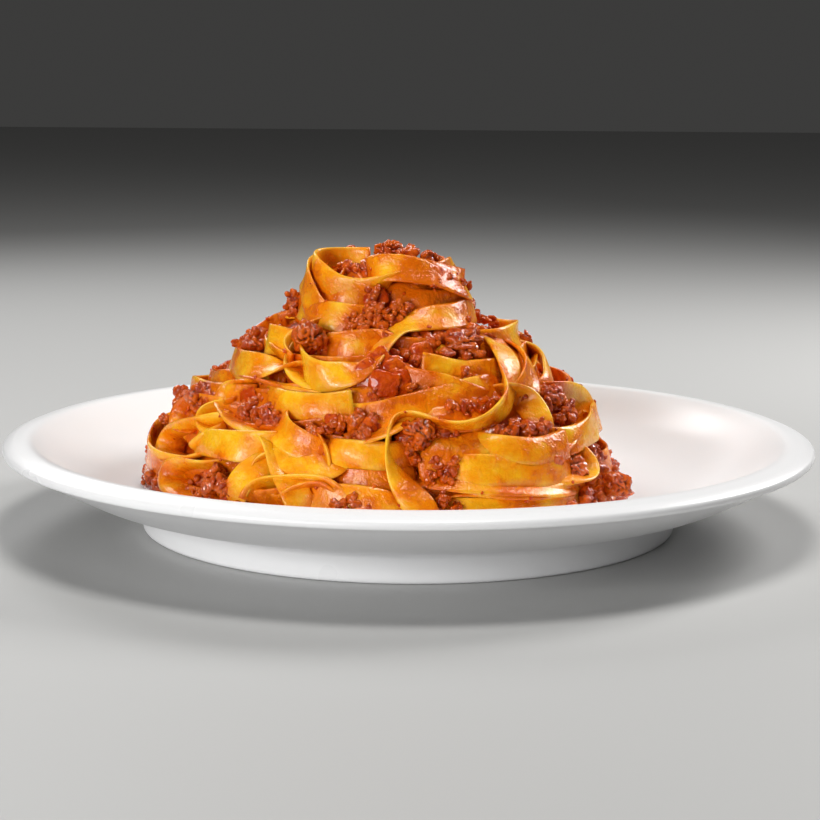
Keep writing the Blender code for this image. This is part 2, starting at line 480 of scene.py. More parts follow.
def smooth_curve(points, steps):
    """A curve through the points: cubics with matching slopes, so many steps each."""
    nodes = np.array([points[0], *points, points[-1]], dtype=float)
    share = np.arange(steps)[:, None] / steps
    stretches = []
    for before, start, end, after in zip(nodes, nodes[1:], nodes[2:], nodes[3:]):
        stretches.append(cubic(start, end, (end - before) / 2, (after - start) / 2, share))
    return np.vstack([*stretches, nodes[-1]])


def arc(centre, radius, first, last, steps):
    """Points on a circular arc between two angles in degrees."""
    turn = np.radians(np.linspace(first, last, steps + 1))
    return np.column_stack([centre[0] + radius * np.cos(turn), centre[1] + radius * np.sin(turn)])


print("an arc of 4 steps has", len(arc((0, 0), 1, 0, 90, 4)), "points")

# %% Turned plate
FLOOR_HEIGHT = 10.5
RECESS_HEIGHT = 6.0
PLATE_SEGMENTS = 160


def plate_section():
    """Radius and height from the middle of the floor, over the rim, to the underside."""
    crest = PLATE_RADIUS - 8.0
    slope = [(70.0, FLOOR_HEIGHT), (88.0, 13.4), (102.0, 18.8), (crest - 4.0, 26.6)]
    upper = smooth_curve([*slope, (crest, RIM_CREST_HEIGHT), (PLATE_RADIUS - 3.2, 28.1)], 8)
    lip = arc((PLATE_RADIUS - 1.45, 25.9), 1.4, 62, -75, 8)
    wall = smooth_curve([(PLATE_RADIUS - 3.5, 23.8), (111.0, 18.2), (99.5, 12.8), (85.6, 10.6)], 8)
    foot = smooth_curve([(83.7, 8.4), (82.9, 4.5), (82.7, 1.2)], 3)
    outer_edge = arc((81.5, 1.2), 1.2, 0, -90, 4)[1:]
    inner_edge = arc((77.0, 1.2), 1.2, -90, -180, 4)
    well = [(radius, FLOOR_HEIGHT) for radius in (10.0, 40.0, 60.0)]
    recess = [(74.2, 5.2), *((radius, RECESS_HEIGHT) for radius in (72.5, 40.0, 10.0))]
    return np.vstack([well, upper, lip, wall, foot, outer_edge, inner_edge, recess])


def make_plate():
    """The section turned about the Z axis and closed at both poles."""
    section = plate_section()
    turn = np.linspace(0, 2 * np.pi, PLATE_SEGMENTS, endpoint=False)
    radius, height = section[:, :1], section[:, 1:]
    grid = np.stack([radius * np.cos(turn), radius * np.sin(turn), height + 0 * turn], -1)
    points = np.vstack([grid.reshape(-1, 3), [(0, 0, FLOOR_HEIGHT), (0, 0, RECESS_HEIGHT)]])
    return build_mesh("porcelain_plate", points, closed_faces(len(section), PLATE_SEGMENTS))


finish_piece(make_plate(), porcelain, "porcelain", "plate")

# %% [markdown]
# ## The heap's skin
# The noodles wind round a cone that is steep at the top and broad at the foot. Its mean
# outline is one curve of radius against height about the heap's own axis, which stands a
# little left of the plate's. Every ribbon is laid out on that skin by its direction
# round the axis (0 in front, 90 on the right), its height, and how far it stands off.

# %% Skin
HEAP_AXIS = np.array([-8.0, 0.0])
SKIN_HEIGHTS = [0, 8, 13, 18, 23, 28, 34, 39, 44, 49, 54, 59, 62, 66, 71, 76, 81, 86, 90]
SKIN_RADII = [70, 75, 75, 73, 71, 68, 66, 63, 57, 51, 47, 41, 35, 28.5, 26, 24, 21, 14, 4]


def on_skin(azimuth, height, lift):
    """Points on the heap: degrees round its axis, height, and distance outside its skin."""
    turn = np.radians(azimuth)
    radius = np.interp(height, SKIN_HEIGHTS, SKIN_RADII) + lift
    across = HEAP_AXIS[0] + radius * np.sin(turn)
    deep = HEAP_AXIS[1] - radius * np.cos(turn)
    return np.stack([across, deep, height + 0 * radius], -1)


print("widest and narrowest radius:", max(SKIN_RADII), min(SKIN_RADII))

# %% [markdown]
# ## Where the meat lies
# The ten largest lumps have their places in the frame. The smaller ones are listed here,
# before the pasta, because the pasta is saucier near meat and needs to know where it is.
# The places where sauce has run over the pasta are listed with them.

# %% Meat places
MEAT_PLACES = {
    # region: direction, height, distance off the skin, radius
    "crown": [
        (-62, 79.6, -8, 2.4), (-48, 79.4, -8, 2.6), (-36, 80.2, -7.5, 2.8), (-25, 81, -9, 2.9),
        (-8, 82.5, -9, 2.4), (42, 85, -3, 3), (58, 84, -1.5, 2.8), (72, 82.4, -1, 2.4),
        (50, 86.2, -3, 2), (-7, 74.4, -2.5, 2.8), (-14, 66.2, 0, 2.8), (-9, 68.4, -0.5, 2.8),
        (-3, 69.6, 0, 2.8), (3, 68, 0, 2.6), (8, 70.4, 0, 2.7), (13, 69.6, -1, 2.2),
        (0, 65.4, 0.5, 2.6), (6, 66.4, 0, 2.5), (-10, 64.2, 0.5, 2.4), (-86, 70.4, 1, 2.6),
        (-86, 68, 0.8, 2.3), (-80, 66.6, 0, 1.8), (-18, 64.6, -0.5, 2.2), (-4, 66.6, 0.6, 2.6),
        (17, 70, -0.5, 2.2), (52, 78.6, 2.5, 1.5), (66, 76.4, 2.4, 1.4), (78, 75, 2.4, 1.4),
        (38, 77.6, 2.6, 1.3),
    ],
    "shoulder": [
        (-73, 57.2, 0.5, 2.7), (-74, 59.8, 0, 2.7), (-66, 57.6, 0.5, 2.5), (-70, 61.4, -1.5, 1.7),
        (-50, 64.4, 0, 2), (-42, 66, -2, 2.2), (5, 60.8, -4, 3.2), (2, 57.6, -2.5, 3), (9, 58.6, -3, 3),
        (13, 56.6, -1.5, 2.2), (14, 61.4, -3, 2.4), (8, 62.6, -5, 2.6), (23, 60.6, -1, 3),
        (29, 62, 0, 3), (44, 61.2, 1, 3.3), (50, 62.6, 1, 2.5), (27, 58.4, 0, 2.5),
        (40, 57.6, 0.5, 2.6), (34, 57, 0.5, 2.2), (60, 62.4, 0.5, 2.4), (65, 60.8, 1, 2.4),
        (88, 57.6, 1, 2.4), (56, 64.6, -1, 2.4), (36, 61.6, 0, 3), (33, 63, -1, 2.4),
        (55, 60.6, 0.5, 2.6), (18, 61.4, -2, 2.4),
    ],
    "waist": [
        (1, 52.2, -0.5, 2.8), (4.5, 49.6, 0, 2.2), (-3.5, 49, -0.5, 2.2), (-2, 47, 0, 2.2),
        (3, 46.6, 0.5, 2.2), (9, 50.4, 3.2, 1.6), (20, 45.6, 2.6, 2.2), (24, 45, 2.8, 2.6),
        (28, 45.7, 3, 2.6), (32, 45.5, 2.8, 2.4), (36, 46.1, 2, 2), (30, 52.4, 0.5, 2.2),
        (34, 51.4, 0.8, 2.3), (-76, 41, 0.5, 2.6), (-84, 40, 0.5, 2.5), (-68, 42.6, 1, 2.6),
        (-62, 43.4, 1, 2.6), (-92, 39, -0.5, 2.2), (-79, 38, 0.5, 2.2), (-44, 41, -3, 3),
        (-38, 41, -2.4, 3.2), (-33, 40, -2, 2.8), (-48, 41.6, -4, 2.6), (-42, 44.6, -1.5, 2.2),
        (-35, 43.6, -1.5, 2.2), (-30, 40.6, -1.5, 2.2), (-11, 41, 0, 3), (-6.5, 41.5, 0.8, 3.3),
        (-2.4, 41.9, 0.5, 2.6), (-14, 39.8, 0, 2.4), (-4, 38.8, 0, 2.4), (-17.5, 39.2, 0.5, 2.2),
        (1, 44.6, 0.5, 2), (50, 45.4, -1, 2.2), (55, 45.2, -1, 2.4), (60, 45.6, -1, 2.2),
    ],
    "belly": [
        (20, 38, -2, 2.2), (10, 36, -3, 2.6), (6, 37, -3, 2.8), (13, 39, -2.4, 2.6),
        (16.4, 38.6, -1.5, 2.2), (7, 34, -3, 2.5), (9, 31.4, -2.6, 2.3), (6, 40.6, -4, 2.2),
        (14, 30, -2, 3), (18, 29.6, -1.6, 3), (16, 26.8, -1, 2.6), (20, 31.2, -2.4, 2.4),
        (12, 27, -1, 2.2), (22, 33.5, -4, 2.6), (36, 37.6, 0.4, 2.6), (41, 37.8, 0.8, 3),
        (46, 37.4, 0.8, 2.8), (50, 37, 0, 2.2), (39, 39.6, -1, 2), (33, 38.4, -1, 2),
        (56, 42, -0.4, 2.6), (64, 42.6, 0.4, 2.8), (61, 38.4, 0.4, 2.6), (67, 41, 0, 2.4),
        (66, 44.6, 0, 2), (57, 39, -0.6, 2.2), (52, 29, 0.5, 2), (-84, 33, 1, 2),
    ],
    "foot_left": [
        (-77, 20, -1.2, 2.8), (-70, 20.4, -1.2, 2.4), (-73, 17.4, -0.7, 2.8), (-66, 16.6, -0.2, 2.4),
        (-84, 17, -0.7, 2.6), (-92, 17, -1.7, 2.6), (-43, 25, 0, 2.6), (-40, 23.4, 1, 3),
        (-42.5, 21.2, 1.2, 2.8), (-38, 21.4, 1.2, 2.4), (-46, 18.6, 0.6, 2.2), (-50, 21, -4, 2.6),
        (-53, 18, -3, 2.4), (-33, 17, 1, 2.2), (-28, 16.6, 1.5, 2.2), (-38, 15.6, 2, 2.4),
        (-60, 14.6, 2.5, 2.2), (-22, 15.6, 2, 2),
    ],
    "foot_front": [
        (-9.4, 20.6, 1.4, 2.4), (-5.6, 21, 1.6, 2.6), (-2, 20.2, 1.6, 2.3), (1, 18.8, 1, 2),
        (-6.6, 17.6, 2, 2.3), (-12, 17.4, 1.6, 2.2), (14, 21, 0.5, 2.5), (12.6, 18.2, 1.4, 2.3),
        (17, 18.6, 0.4, 2), (47, 16, 2, 2.2), (52, 16.4, 2.4, 2.6),
    ],
    "foot_right": [
        (56, 17.6, -0.2, 2.8), (60, 15.6, 0.4, 2.6), (62, 20.2, -1.8, 3), (66, 24.2, -4.1, 2.8),
        (71, 20.6, -2.5, 2.9), (60.6, 26.6, -3.2, 2.5), (66, 28.2, -4.9, 2.5), (72, 27, -4.1, 2.8),
        (78, 23.6, -3.3, 2.9), (85, 20, -3.5, 2.8), (78, 17, -2.5, 2.9), (72.6, 15.4, -1.9, 2.8),
        (66, 15.6, -1.1, 2.8), (86, 15.4, -3.9, 2.7), (82, 27.6, -5.1, 2.3), (92, 18, -4.1, 2.7),
        (57.6, 22, -2.4, 2.2), (75, 30, -5.5, 2.1), (99, 16, -4, 2.4), (90, 23.5, -5, 2.5),
    ],
}


def place_lumps(rows, seed):
    """Skin places as x, y, z and three radii, each lump a little longer one way."""
    rows = np.asarray(rows, dtype=float)
    draw = np.random.default_rng(seed)
    stretch = draw.uniform(0.8, 1.25, (len(rows), 3))
    return np.column_stack([on_skin(*rows[:, :3].T), 0.9 * rows[:, 3:] * stretch])


print("small lumps:", sum(map(len, MEAT_PLACES.values())))

# %% Stains and all the meat
STAINS = np.array([
    # direction, height, radius, how saucy
    (-62, 77, 5, 0.45), (30, 79, 8, 0.45), (52, 77, 6, 0.5), (14, 75, 5, 0.6), (-48, 72, 5, 0.3),
    (-3, 56, 4, 0.5), (0, 52, 7, 0.6), (52, 70, 4, 0.35), (-50, 49, 6, 0.45), (-40, 45, 7, 0.45),
    (40, 53, 6, 0.5), (10, 50, 7, 0.55), (25, 45, 6, 0.3), (-18, 33, 5, 0.3), (6, 27, 6, 0.6),
    (8, 24, 5, 0.5), (42, 30, 5, 0.5), (44, 25, 5, 0.4), (-40, 24, 6, 0.7), (-70, 40, 7, 0.5),
    (-66, 20, 7, 0.5), (30, 22, 5, 0.3), (62, 58, 5, 0.3), (55, 52, 5, 0.35), (-57, 27, 4, 0.4),
    (66, 46, 6, 0.35), (-82, 30, 6, 0.4), (27, 28, 5, 0.35), (35, 18, 5, 0.5), (51, 28, 5, 0.45),
    (24, 36, 4, 0.35), (-51, 31, 3.5, 0.4), (-61, 23, 4, 0.35), (-29, 27, 4, 0.35), (-14, 24, 4, 0.4),
    (-33, 56, 4, 0.35), (-66, 53, 4, 0.4), (-40, 62, 3.5, 0.35), (-8, 30, 4, 0.3),
], dtype=float)

CLUMPS = [f"meat_clump_{number:02d}" for number in range(1, 11)]
clump_centres = [(np.array(low) + np.array(high)) / 2 / MM for low, high in map(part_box, CLUMPS)]
LUMPS = {
    region: place_lumps(rows, seed)
    for seed, (region, rows) in enumerate(MEAT_PLACES.items(), 500)
}
MEAT_CENTRES = np.vstack(clump_centres + [rows[:, :3] for rows in LUMPS.values()])
print("lumps:", len(MEAT_CENTRES), "stains:", len(STAINS))

# %% [markdown]
# ## Ribbons
# A tagliatella is a strip of dough about nine millimetres wide and a little over one
# thick, so it is a flat rounded section carried along a path. The path is a smooth curve
# through a few chosen places. At each of them the strip may be rolled about its own
# length: 0 lies flat against the heap, 90 stands on edge. A cup across the width, a
# ruffle along both edges and a slowly changing width keep it from looking like tape.

# %% Paths
RIBBON_SPACING = 1.1
SMOOTHING_PASSES = 6


def flowing(points):
    """Rows of values along a smooth curve, equally spaced along its first three columns.

    Each stretch is a cubic whose end slopes are averages of the chords beside them,
    weighted so that short chords count for more. A few passes of (1, 2, 1) / 4 then
    even out the bends."""
    points = np.asarray(points, dtype=float)
    chords = np.linalg.norm(np.diff(points[:, :3], axis=0), axis=1)
    spans = np.sqrt(chords)[:, None]
    slopes = np.diff(points, axis=0) / spans
    inner = (slopes[:-1] * spans[1:] + slopes[1:] * spans[:-1]) / (spans[:-1] + spans[1:])
    slope = np.vstack([slopes[:1], inner, slopes[-1:]])
    share = np.linspace(0, 1, 24, endpoint=False)[:, None, None]
    dense = cubic(points[:-1], points[1:], slope[:-1] * spans, slope[1:] * spans, share)
    dense = np.vstack([dense.transpose(1, 0, 2).reshape(-1, points.shape[1]), points[-1:]])
    walked = np.concatenate([[0], np.cumsum(np.linalg.norm(np.diff(dense[:, :3], axis=0), axis=1))])
    stops = np.linspace(0, walked[-1], max(8, int(walked[-1] / RIBBON_SPACING)))
    rows = np.column_stack([np.interp(stops, walked, column) for column in dense.T])
    for _ in range(SMOOTHING_PASSES):
        rows[1:-1] = (rows[:-2] + 2 * rows[1:-1] + rows[2:]) / 4
    return rows


def unit(vectors):
    """Each vector at length one."""
    return vectors / np.maximum(np.linalg.norm(vectors, axis=-1, keepdims=True), 1e-9)


def ribbon_frame(path, roll, centre, upright):
    """Width direction and face normal along a path.

    The face starts out square to the line from the heap's axis, leaned back a quarter
    like the heap's slope. For an upright ribbon the width starts out vertical instead.
    The roll then turns both about the tangent."""
    tangent = unit(np.gradient(path, axis=0))
    if upright:
        across = -unit(np.array([0, 0, 1.0]) - tangent * tangent[:, 2:])
        face = np.cross(across, tangent)
    else:
        outward = unit(np.column_stack([path[:, :2] - centre, np.zeros(len(path))])) + [0, 0, 0.25]
        face = unit(outward - tangent * (outward * tangent).sum(1, keepdims=True))
        across = np.cross(tangent, face)
    cosine, sine = np.cos(np.radians(roll))[:, None], np.sin(np.radians(roll))[:, None]
    return across * cosine - face * sine, face * cosine + across * sine


bend = flowing([(0, 0, 0), (20, 0, 0), (20, 20, 0)])
print("a bend of 40 mm:", len(bend), "stops")

# %% Section
NOODLE_WIDTH = 9.0
NOODLE_THICKNESS = 1.35
SIDE_STOPS = np.array([0.94, 0.78, 0.45, 0.0, -0.45, -0.78, -0.94])


def ribbon_section():
    """Places across (-1 to 1) and through (-1 to 1) the strip, round its outline."""
    swell = (1 - np.abs(SIDE_STOPS) ** 6) ** 0.5
    across = np.concatenate([[1.0], SIDE_STOPS, [-1.0], SIDE_STOPS[::-1]])
    through = np.concatenate([[0.0], swell, [0.0], -swell[::-1]])
    return across, through


def ribbon_surface(points, seed, centre, upright):
    """Grid of points of one ribbon: the section carried along the path.

    points are rows of x, y, z and roll. Off the path, a place at share s of half the
    width stands out by cup * s^2 plus ruffle * |s|^3 * sin(length / wave), with its own
    phase for each edge."""
    rows = flowing(points)
    path, roll = rows[:, :3], rows[:, 3]
    across, face = ribbon_frame(path, roll, centre, upright)
    draw = np.random.default_rng(seed)
    along = (np.arange(len(path)) * RIBBON_SPACING)[:, None]
    side, through = ribbon_section()
    half = NOODLE_WIDTH / 2 * (1 + 0.07 * np.sin(along / draw.uniform(7, 12) + draw.uniform(0, 6)))
    cup = draw.uniform(-0.9, 1.5) * np.cos(along / draw.uniform(14, 30) + draw.uniform(0, 6))
    left = draw.uniform(0.3, 0.8) * np.sin(along / draw.uniform(2.6, 4.6) + draw.uniform(0, 6))
    right = draw.uniform(0.3, 0.8) * np.sin(along / draw.uniform(2.6, 4.6) + draw.uniform(0, 6))
    ruffle = np.where(side > 0, left, right) * np.abs(side) ** 3
    thick = NOODLE_THICKNESS / 2 * (1 + 0.15 * np.sin(along / 5 + draw.uniform(0, 6)))
    raised = (cup * side**2 + ruffle + through * thick)[..., None]
    return path[:, None] + across[:, None] * (side * half)[..., None] + face[:, None] * raised


def ribbon_faces(rows):
    """Quads round the strip and flat caps on its two cut ends."""
    columns = 2 * len(SIDE_STOPS) + 2
    near = np.arange(1, columns // 2 - 1)
    quads = np.column_stack([near, near + 1, columns - near - 1, columns - near])
    ears = np.array([[0, 1, columns - 1], [columns // 2 - 1, columns // 2, columns // 2 + 1]])
    last = (rows - 1) * columns
    caps = [quads, ears, last + quads[:, ::-1], last + ears[:, ::-1]]
    return [round_faces(rows, columns), *caps]


print("section:", len(ribbon_section()[0]), "points")

# %% [markdown]
# ## The ribbons that show in front
# Each ribbon is named for what it does in the heap. Its numbers are how saucy it is and
# its places: direction, height, distance off the skin, and roll, which is left out where
# it is 0. The ends dive below the skin, so that each strip seems to come out of the heap
# and go back into it. The one on the very top is a loop about an upright axis of its own,
# with a radius from that axis in place of the distance.

# %% Ribbons of the crown
CROWN_CENTRE = np.array([-17.0, -6.0])
CROWN_LOOP = (0.05, [
    (150, 81.6, 9, 0), (180, 81.3, 10, 0), (215, 81.2, 11.4, 0), (245, 81, 12.2, 0),
    (270, 80.6, 12.4, 0), (290, 79.4, 12.8, 0), (312, 77.4, 13.6, 0), (340, 75.2, 14.4, 0),
    (365, 74.4, 15, 5), (380, 75, 16, 20), (393, 77, 17.2, 45), (402, 79.3, 18, 68),
    (411, 81.4, 18.2, 80), (422, 83, 17.4, 85),
])
FRONT_RIBBONS = {}


def front(name, sauce, places):
    """Notes down a front ribbon, its rolls made full where a place leaves them out."""
    FRONT_RIBBONS[name] = sauce, [(*place, 0)[:4] for place in places]


front("crown_fold", 0.15, [
    (-16, 80, -6), (-9, 81.2, -2), (2, 81.8, 1, -5), (14, 81.6, 2, -10), (26, 80.8, 2.4, -14),
    (38, 79.4, 2.6, -18), (50, 77.4, 2.6, -24), (62, 75.6, 2, -24), (76, 74.4, 1, -12), (96, 73.4, -3),
])
front("crown_under_right", 0.4, [
    (20, 80.5, -5), (40, 80, -1), (58, 78.6, 0.4, -6), (74, 76.6, 0.6, -6), (90, 74.4, 0),
    (108, 72.6, -4),
])
front("crown_under_left", 0.15, [
    (-125, 79, -2), (-100, 79.4, -1), (-82, 78.4, 1), (-66, 76, 2), (-54, 72.4, 2), (-44, 68.6, 1),
    (-37, 65.5, -4),
])
front("collar_left", 0.15, [
    (-112, 69, -5), (-90, 69.4, -3), (-72, 69.2, -1, -5), (-54, 68.6, 1, -8), (-40, 68, 2.4, -8),
    (-27, 67.4, 2, -5), (-14, 66.8, 0), (-2, 66, -5),
])
front("collar_right", 0.1, [
    (16, 72, -5), (26, 71.6, 0), (36, 71, 0.6), (50, 70.8, 0.4, 5), (66, 71, 0, 5), (86, 70.6, -1),
    (108, 69.6, -5),
])
front("upper_s", 0.1, [
    (-38, 58.2, -6, 85), (-34, 57.5, -2.9, 76), (-30.5, 55.6, -0.5, 55), (-26, 53.7, 1.9, 28),
    (-21, 53, 3.8, 8), (-15, 53.4, 4.4, -12), (-8, 54.8, 4.4, -34), (-2.6, 58, 3.2, -54),
    (2, 61.4, 2.2, -62), (8, 64.6, 2, -60), (16, 66.2, 2, -52), (25, 67, 2.4, -40),
    (35, 67.4, 2.8, -24), (47, 67.6, 2.6, -14), (62, 67.8, 1.4, -6), (78, 67.6, 0), (94, 67, -1),
    (112, 66, -5),
])
front("upper_s_back", 0.25, [
    (-26, 59, -5), (-16, 60.4, -0.5), (-6, 60.8, -1), (4, 61.5, -3, -20), (16, 62, -7, -20),
])
print("front ribbons so far:", len(FRONT_RIBBONS))

# %% Ribbons of the left shoulder and the hollow
front("left_bulge", 0.12, [
    (-120, 51.5, -6), (-100, 52.4, -4), (-84, 52.6, -2.2), (-70, 52.6, -0.5, -4), (-58, 52.8, 1, -8),
    (-49, 53.2, 2, -24), (-42, 53.8, 0.6, -50), (-36.5, 54.4, -3, -72), (-33, 54.6, -6, -80),
])
front("left_bulge_rim", 0.1, [
    (-40, 60, -6, -60), (-38.4, 57.4, -3.6, -74), (-37, 54.4, -3.4, -78), (-33.4, 52, -3.4, -78),
    (-28, 50.6, -3.2, -76), (-22, 49.8, -3.4, -72), (-16, 49.4, -6, -60),
])
front("left_shelf", 0.2, [
    (-66, 49.6, -6, -60), (-54, 49.8, -2.4, -82), (-42, 49.4, -1.8, -86), (-30, 48.8, -1.6, -86),
    (-20, 48.2, -4, -80),
])
front("cut_end_left", 0.08, [
    (-56, 60.4, 3), (-50, 60.4, 2.6), (-43, 60, 1.4), (-36, 59.4, -1.5, 5), (-30, 58.6, -5, 10),
])
front("ball_cradle", 0.2, [
    (-42, 65, -5, 70), (-42, 61.5, -1, 68), (-40, 57.8, 1, 62), (-36, 55, -1, 50),
])
front("hollow_tongue", 0.05, [
    (14.5, 55.4, 0.5), (20, 54.8, 0.2, -2), (28, 53.4, 0, -4), (36, 52.6, -0.4, -6),
    (44, 52.2, -0.6, -4), (52, 51.6, -5),
])
front("hollow_sliver", 0.15, [
    (15, 60.6, -6, -70), (21, 60.5, -3.5, -72), (28, 60.2, -3.5, -72), (36, 60, -7, -70),
])
front("hollow_shelf", 0.4, [
    (1, 53.5, -6), (5.5, 52.3, -0.5, 8), (12, 51, 1.8, 14), (19, 49.8, 2.2, 16), (25, 47.8, 1.8, 14),
    (31, 45.8, 0.5, 8), (38, 44, -4),
])
print("front ribbons so far:", len(FRONT_RIBBONS))

# %% Ribbons of the middle
front("middle_band", 0.1, [
    (-9, 41.5, -5), (-1, 43, 0, -4), (8, 45.3, 2.2, -8), (18, 47.4, 3, -10), (28, 48.4, 3, -10),
    (38, 48.8, 1.8, -6), (48, 48, -4),
])
front("middle_lens", 0.2, [
    (6, 42, -5, -10), (13, 42.3, 0, -14), (20, 42, 0.5, -18), (28, 42.4, 0.5, -18), (36, 43.4, -4, -10),
])
front("lower_s", 0.08, [
    (62, 63.5, -6, 20), (57, 60.4, 1, 24), (51, 57, 3, 20), (46.4, 53.4, 3.4, 8), (43, 49.6, 3.4, -14),
    (38.6, 46, 3.2, -36), (32.4, 43, 3, -50), (25, 40.9, 2.4, -62), (18, 40.8, 1.2, -74),
    (12, 42.4, -0.2, -84), (7.2, 43.4, -1, -88), (3.8, 42.2, -1.2, -88), (2.2, 38.4, -1.2, -86),
    (2.4, 33.6, -0.4, -78), (4.6, 28.6, 1.6, -52), (7, 24, 3.6, -22), (9.2, 19, 4, -4), (10.5, 14.5, 2),
])
front("knob", 0.05, [
    (50, 58.5, -6), (60, 59, -1), (70, 59.6, 1.2), (80, 59.8, 1.8), (90, 59.6, 1.4), (99, 59, -0.5),
    (112, 58.5, -5),
])
print("front ribbons so far:", len(FRONT_RIBBONS))

# %% Ribbons of the right side
front("right_plait", 0.12, [
    (63, 61.5, -5, 10), (58.5, 58, 0, 10), (54.5, 54.6, 0.8, 10), (50.5, 51, 1, 8), (47, 47.6, 0.6, 4),
    (45, 44, -4),
])
front("right_bubbly", 0.2, [
    (72, 60.5, -5), (68, 58, 1, 4), (63.5, 55, 2, 4), (57.5, 51.4, 2.4), (52.5, 48.2, 2),
    (49, 45.2, -2),
])
front("right_edge", 0.1, [
    (92, 58, -4), (88, 55, 0.6), (83, 52, 1.2), (76, 49.2, 1.4), (68, 46.6, 1), (62, 44, -3),
])
front("right_curl", 0.1, [
    (34, 46.5, -7, 60), (40, 47.6, -2.5, 64), (45.5, 47.4, -1, 64), (49.4, 45.6, -0.8, 62),
    (49.6, 42.8, -0.8, 58), (48.2, 39.6, -0.6, 54), (47.5, 36, -1.5, 46), (48, 33, -5, 40),
])
front("right_hoop", 0.08, [
    (60, 44, -6, 20), (69, 43.6, -2, 30), (76, 42, -0.6, 30), (81.5, 39.4, -0.4, 26),
    (83, 36.4, -0.6, 20), (80, 33.4, -3, 10), (74, 31, -6),
])
front("right_wall", 0.12, [
    (42, 34, -6), (48.5, 33.2, 0), (55, 33.2, 1.6), (63, 33.6, 1.8), (72, 34.6, 1.4), (81, 35, 1),
    (90, 34.6, 0), (102, 34, -5),
])
front("right_flap", 0.1, [
    (22, 36.5, -5), (28, 34.8, 1, -6), (35, 33.4, 3, -8), (42, 32.6, 3.6, -8), (48, 32.6, 3.2, -6),
    (52, 32.4, 2.4),
])
front("right_fold", 0.05, [
    (15, 29.6, -4), (20.5, 28.8, 1, -5), (26, 28.8, 2.6, -8), (34, 27.9, 2.8, -8), (42, 26.4, 2.4, -4),
    (50, 25, 1), (58, 24, -4),
])
front("right_lip", 0.08, [
    (64, 34, -6, -60), (58.5, 31.8, -2.5, -70), (54, 30, -1.5, -74), (50, 28.2, -1.5, -74),
    (47.4, 26.4, -1.8, -70), (45.6, 24, -4.5, -60),
])
front("right_small_loop", 0.08, [
    (43, 23.4, -4.5, -56), (47, 23.8, -1, -60), (51.5, 23.4, 0.6, -62), (56, 22.8, 0.8, -64),
    (59.4, 24, 0, -74), (60.4, 26.4, -1.4, -86), (60.6, 29, -5.5, -90),
])
front("base_right_thin", 0.3, [
    (9, 26.4, -6, -40), (15, 25.8, -1, -46), (23, 25, 0.6, -48), (32, 23.6, 0.8, -48),
    (41, 22.4, 0.8, -44), (49, 21.6, -0.5, -36), (56, 21.4, -5, -30),
])
front("base_right_wide", 0.08, [
    (13, 17.4, -6), (20, 17.6, 0, -6), (30, 18.2, 2, -8), (40, 18.4, 2, -6), (49, 18.2, 0.5),
    (57, 18, -4),
])
print("front ribbons so far:", len(FRONT_RIBBONS))

# %% Ribbons of the left side
front("inner_pale", 0.05, [
    (36, 38.6, -6, 20), (30, 36.6, -1.5, 30), (24, 35.2, -0.8, 34), (18, 34.8, -0.8, 30),
    (14, 33.4, -0.8, 16), (12.6, 30.6, -0.8), (13.4, 27.4, -1.5), (15, 24.6, -5),
])
front("swirl", 0.08, [
    (-44, 48, -5.5, -60), (-50, 47.8, -3.4, -72), (-55.5, 46.4, -2.5, -78), (-57, 44.4, -2.4, -80),
    (-54, 42.2, -2.4, -80), (-49, 40.4, -2.3, -80), (-43.5, 38.8, -2.2, -78), (-37.5, 38, -2, -78),
    (-32, 36.6, -2, -77), (-28, 33.6, -1.4, -72), (-25, 30, -0.6, -62), (-22, 26.8, 0.8, -44),
    (-19.8, 24, 1.4, -28), (-18, 20.4, 1.2, -14), (-15, 17, -3, -8),
])
front("swirl_inner", 0.3, [
    (-28, 44, -5), (-34, 43.4, -2.6, 10), (-41, 43, -3, 16), (-47, 42.4, -4.5, 24), (-52, 42, -8, 24),
])
front("leaf", 0.05, [
    (-62, 30.5, -5), (-56, 31.6, -1.2), (-51, 32.6, 0.6, -2), (-45, 33, 1.6, -6), (-39, 33.4, 2, -8),
    (-34.5, 33.6, 1.4, 10), (-31, 33.8, -0.5, 36), (-28.5, 34, -4, 50),
])
front("left_ring", 0.12, [
    (-53, 41.6, -6.5, -66), (-56.6, 40.6, -3.2, -76), (-57.8, 38.2, -2.6, -80), (-55.6, 36, -2.6, -78),
    (-51, 35.2, -2.8, -74), (-45, 35.6, -4, -70), (-40, 36.5, -7, -60),
])
front("left_scroll", 0.3, [
    (-54, 40.6, -5, -60), (-60, 41, -2.6, -72), (-67, 40.4, -2.4, -78), (-73, 38.4, -2.4, -80),
    (-74, 35.6, -2.4, -80), (-69, 33.8, -2.6, -76), (-62, 34, -5, -70),
])
front("left_arch", 0.12, [
    (-48, 37.6, -5, -60), (-53, 37, -2.4, -72), (-60, 35.4, -1.6, -78), (-67, 32.6, -1.5, -80),
    (-74, 29.4, -1.6, -80), (-74, 26.4, -1.6, -78), (-67, 25, -1.6, -74), (-60, 25.8, -1.8, -70),
    (-55, 27.6, -3, -64), (-51, 29.5, -6, -60),
])
front("left_strip", 0.1, [
    (-58, 27.6, -6, 70), (-54.5, 29.2, -2, 74), (-51.5, 31.8, -2, 76), (-48.5, 34.4, -6, 70),
])
front("left_fold_outer", 0.12, [
    (-112, 30, -5), (-100, 28.6, 0), (-90, 27, 2.4), (-80, 25.4, 3, 10), (-71, 24, 2.4, 20),
    (-63, 23.2, -1, 30), (-56, 23, -5, 30),
])
front("left_fold_lower", 0.3, [
    (-108, 20, -5), (-98, 20.4, -0.5), (-88, 20.6, 0.6, -5), (-78, 20.8, 0.6, -10),
    (-70, 21, -0.5, -10), (-60, 21, -5),
])
